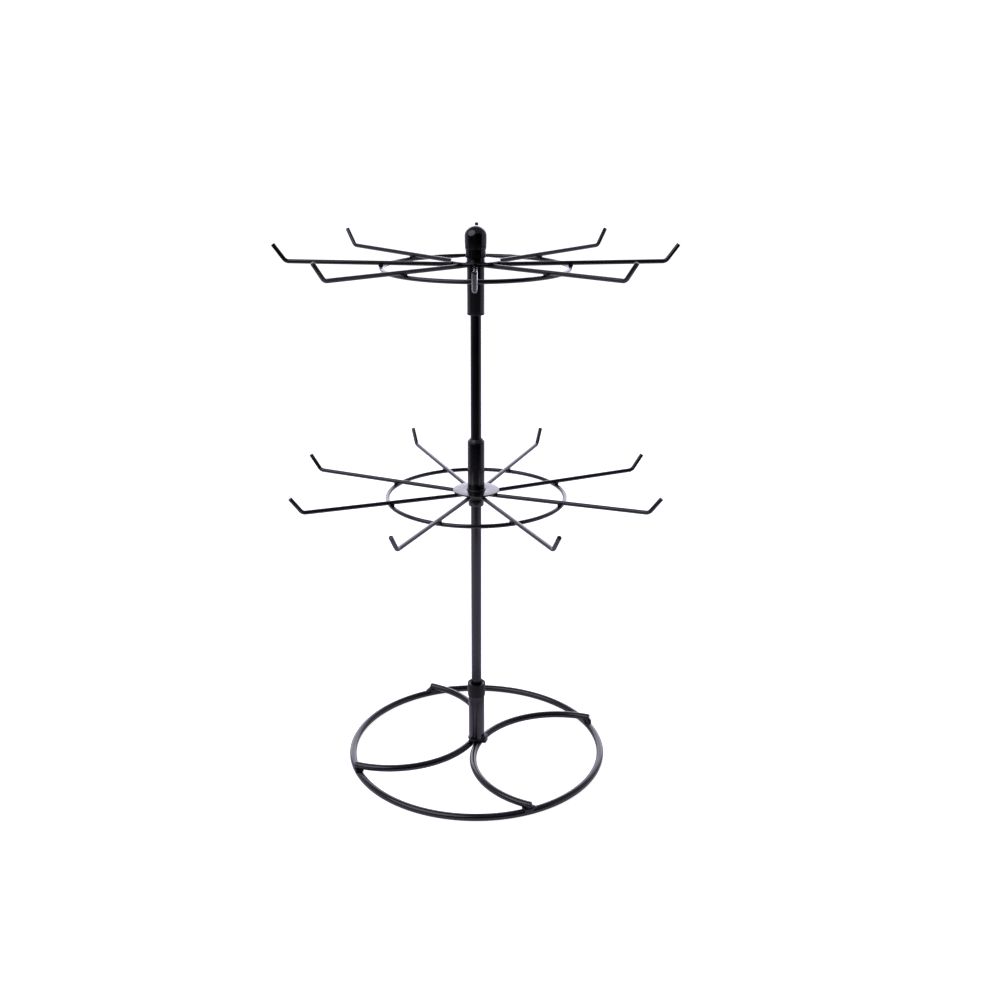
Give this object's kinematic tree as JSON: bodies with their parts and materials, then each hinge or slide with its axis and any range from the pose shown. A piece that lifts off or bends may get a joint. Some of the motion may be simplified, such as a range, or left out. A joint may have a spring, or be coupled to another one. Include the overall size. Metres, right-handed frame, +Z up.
{
  "type": "revolving hook stand",
  "caption": "Free-standing two-tier revolving stand of black coated wire: arms with upturned hooks on two turning hubs, a central pole, and a round rod base with two curved bows.",
  "frame": {"origin": "centre of the base on the surface that it stands on, under the pole's axis", "axes": "+Z up along the pole; +X along upper_arm_1, to the right as seen from the front (from -Y)"},
  "size_m": [0.3652, 0.3652, 0.5323],
  "materials": {
    "coated_rod": "glossy black coating on round steel rod",
    "coated_tube": "glossy black coating on steel tube and sheet",
    "coated_wire": "glossy black coating on round steel wire",
    "moulded_black": "polished moulded black plastic",
    "nylon": "satin black nylon",
    "steel_screw": "blackened steel grub screw"
  },
  "bodies": {
    "stand": {"base_ring": "coated_rod", "base_bow_right": "coated_rod", "base_bow_left": "coated_rod", "socket_tube": "coated_tube", "socket_mouth_cap": "moulded_black", "pole": "coated_tube", "pole_top_plug": "nylon", "stop_collar": "coated_tube", "stop_screw": "steel_screw"},
    "lower_tier": {"lower_sleeve": "coated_tube", "lower_hub_disc": "coated_tube", "lower_ring": "coated_wire", "lower_bush_top": "nylon", "lower_bush_bottom": "nylon", "lower_arm_1": "coated_wire", "lower_arm_2": "coated_wire", "lower_arm_3": "coated_wire", "lower_arm_4": "coated_wire", "lower_arm_5": "coated_wire", "lower_arm_6": "coated_wire", "lower_arm_7": "coated_wire", "lower_arm_8": "coated_wire"},
    "upper_tier": {"upper_sleeve": "coated_tube", "upper_hub_disc": "coated_tube", "upper_ring": "coated_wire", "upper_bush_bottom": "nylon", "upper_pivot_cup": "nylon", "finial_knob": "moulded_black", "upper_arm_1": "coated_wire", "upper_arm_2": "coated_wire", "upper_arm_3": "coated_wire", "upper_arm_4": "coated_wire", "upper_arm_5": "coated_wire", "upper_arm_6": "coated_wire", "upper_arm_7": "coated_wire", "upper_arm_8": "coated_wire"}
  },
  "joints": [
    {"name": "lower_spin", "type": "hinge", "parent": "stand", "child": "lower_tier", "pos_m": [0, 0, 0.2826], "axis": [0, 0, 1], "continuous": true},
    {"name": "upper_spin", "type": "hinge", "parent": "stand", "child": "upper_tier", "pos_m": [0, 0, 0.4986], "axis": [0, 0, 1], "continuous": true}
  ]
}
